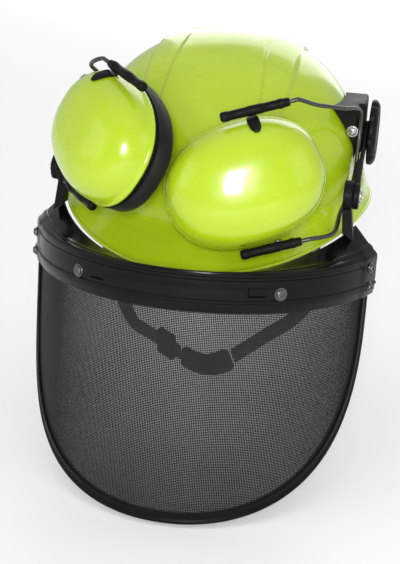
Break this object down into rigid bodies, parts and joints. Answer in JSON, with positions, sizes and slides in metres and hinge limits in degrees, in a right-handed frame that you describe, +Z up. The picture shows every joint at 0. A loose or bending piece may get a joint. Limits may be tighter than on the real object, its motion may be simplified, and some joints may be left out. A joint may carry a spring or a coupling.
{
  "type": "face shield",
  "caption": "Forestry helmet kit: hard shell with flip-up mesh face shield, parked ear muffs on wire forks, head harness and chin strap",
  "frame": {"origin": "centre of the head space, level with the headband's side plates", "axes": "+X wearer's left, -Y the way the wearer faces, +Z up"},
  "size_m": [0.252, 0.3158, 0.3055],
  "materials": {
    "shell_gloss": "glossy moulded lime plastic",
    "cup_gloss": "glossy moulded lime plastic",
    "steel": "plain drawn wire and plated screws",
    "mesh": "fine dark coated mesh, modelled as a thin solid sheet",
    "cushion_skin": "soft black skin over foam",
    "foam": "open-cell foam liner",
    "webbing": "black woven webbing",
    "bracket_gloss": "smooth semi-gloss black plastic",
    "trim": "black edge strip",
    "black_plastic": "moulded black plastic, light grain"
  },
  "bodies": {
    "visor": {"bracket_rivet_left": "steel", "bracket_rivet_right": "steel", "bracket_screw_lower_left": "steel", "bracket_screw_lower_right": "steel", "bracket_screw_upper_left": "steel", "bracket_screw_upper_right": "steel", "mesh_screen": "mesh", "screen_trim": "trim", "visor_bracket": "bracket_gloss", "visor_leg_left": "black_plastic", "visor_leg_right": "black_plastic"},
    "nape": {"nape_strap": "black_plastic", "ratchet_housing": "black_plastic"},
    "ratchet_knob": {"ratchet_knob": "black_plastic"},
    "strap_adjuster": {"strap_adjuster": "black_plastic"},
    "knob_left": {"clamp_knob_left": "black_plastic"},
    "muff_swivel_left": {"muff_swivel_left": "black_plastic"},
    "muff_arm_left": {"muff_fork_left": "steel"},
    "muff_slide_left": {"cup_pin_lower_left": "steel", "cup_pin_upper_left": "black_plastic", "fork_sleeve_lower_left": "black_plastic", "fork_sleeve_upper_left": "black_plastic"},
    "cup_left": {"cup_cushion_left": "cushion_skin", "cup_foam_left": "foam", "cup_plate_left": "black_plastic", "cup_shell_left": "cup_gloss"},
    "knob_right": {"clamp_knob_right": "black_plastic"},
    "muff_swivel_right": {"muff_swivel_right": "black_plastic"},
    "muff_arm_right": {"muff_fork_right": "steel"},
    "muff_slide_right": {"cup_pin_lower_right": "steel", "cup_pin_upper_right": "black_plastic", "fork_sleeve_lower_right": "black_plastic", "fork_sleeve_upper_right": "black_plastic"},
    "cup_right": {"cup_cushion_right": "cushion_skin", "cup_foam_right": "foam", "cup_plate_right": "black_plastic", "cup_shell_right": "cup_gloss"},
    "helmet": {"block_screw_left": "steel", "block_screw_right": "steel", "chin_pad": "cushion_skin", "chin_strap_left": "webbing", "chin_strap_right": "webbing", "crown_strap_a": "webbing", "crown_strap_b": "webbing", "hanger_a_front": "black_plastic", "hanger_a_rear": "black_plastic", "hanger_b_front": "black_plastic", "hanger_b_rear": "black_plastic", "headband": "black_plastic", "helmet_shell": "shell_gloss", "pivot_screw_left": "steel", "pivot_screw_right": "steel", "slot_block_left": "black_plastic", "slot_block_right": "black_plastic", "strap_anchor_left": "black_plastic", "strap_anchor_right": "black_plastic", "sweatband": "cushion_skin", "visor_arm_left": "black_plastic", "visor_arm_right": "black_plastic"}
  },
  "joints": [
    {"name": "visor_tilt", "type": "hinge", "parent": "helmet", "child": "visor", "pos_m": [0, -0.075, 0.051], "axis": [-1, 0, 0], "range_deg": [-8, 4]},
    {"name": "clamp_turn_left", "type": "hinge", "parent": "helmet", "child": "knob_left", "pos_m": [0.10915, 0.008, 0.0755], "axis": [1, 0, 0], "range_deg": [-90, 0]},
    {"name": "muff_swing_left", "type": "hinge", "parent": "helmet", "child": "muff_swivel_left", "pos_m": [0.1037, -0.014, 0.088], "axis": [1, 0, 0], "range_deg": [-1.5, 0]},
    {"name": "muff_lift_left", "type": "hinge", "parent": "muff_swivel_left", "child": "muff_arm_left", "pos_m": [0.1037, -0.014, 0.088], "axis": [0, -0.829, -0.5593], "range_deg": [-6, 0]},
    {"name": "muff_slide_left", "type": "slide", "parent": "muff_arm_left", "child": "muff_slide_left", "axis": [0.9274, 0.2746, 0.2541], "range_m": [-0.001, 0.004]},
    {"name": "cup_tilt_left", "type": "hinge", "parent": "muff_slide_left", "child": "cup_left", "pos_m": [0.04979, -0.12466, 0.07216], "axis": [-0.2953, 0.1203, 0.9478], "range_deg": [-0.5, 6]},
    {"name": "clamp_turn_right", "type": "hinge", "parent": "helmet", "child": "knob_right", "pos_m": [-0.10915, 0.008, 0.0755], "axis": [-1, 0, 0], "range_deg": [-90, 0]},
    {"name": "muff_swing_right", "type": "hinge", "parent": "helmet", "child": "muff_swivel_right", "pos_m": [-0.1037, -0.014, 0.088], "axis": [1, 0, 0], "range_deg": [-40, 0.5]},
    {"name": "muff_lift_right", "type": "hinge", "parent": "muff_swivel_right", "child": "muff_arm_right", "pos_m": [-0.1037, -0.014, 0.088], "axis": [0, 0.829, 0.5593], "range_deg": [-8, 0]},
    {"name": "muff_slide_right", "type": "slide", "parent": "muff_arm_right", "child": "muff_slide_right", "axis": [-0.6848, 0.7142, 0.1448], "range_m": [-0.003, 0.004]},
    {"name": "cup_tilt_right", "type": "hinge", "parent": "muff_slide_right", "child": "cup_right", "pos_m": [-0.07026, -0.10524, 0.08786], "axis": [0.2341, 0.0589, 0.9704], "range_deg": [-3, 1.5]},
    {"name": "ratchet_turn", "type": "hinge", "parent": "nape", "child": "ratchet_knob", "pos_m": [0, 0.10675, -0.023], "axis": [0, 1, 0], "range_deg": [0, 230]},
    {"name": "nape_adjust", "type": "slide", "parent": "helmet", "child": "nape", "axis": [0, 1, 0], "range_m": [0, 0.01]},
    {"name": "adjuster_slide", "type": "slide", "parent": "helmet", "child": "strap_adjuster", "axis": [0.8556, -0.4802, -0.1932], "range_m": [-0.01, 0.005]}
  ],
  "couplings": [
    {"joint": "ratchet_turn", "follows": "nape_adjust", "rad_per_m": 400}
  ]
}
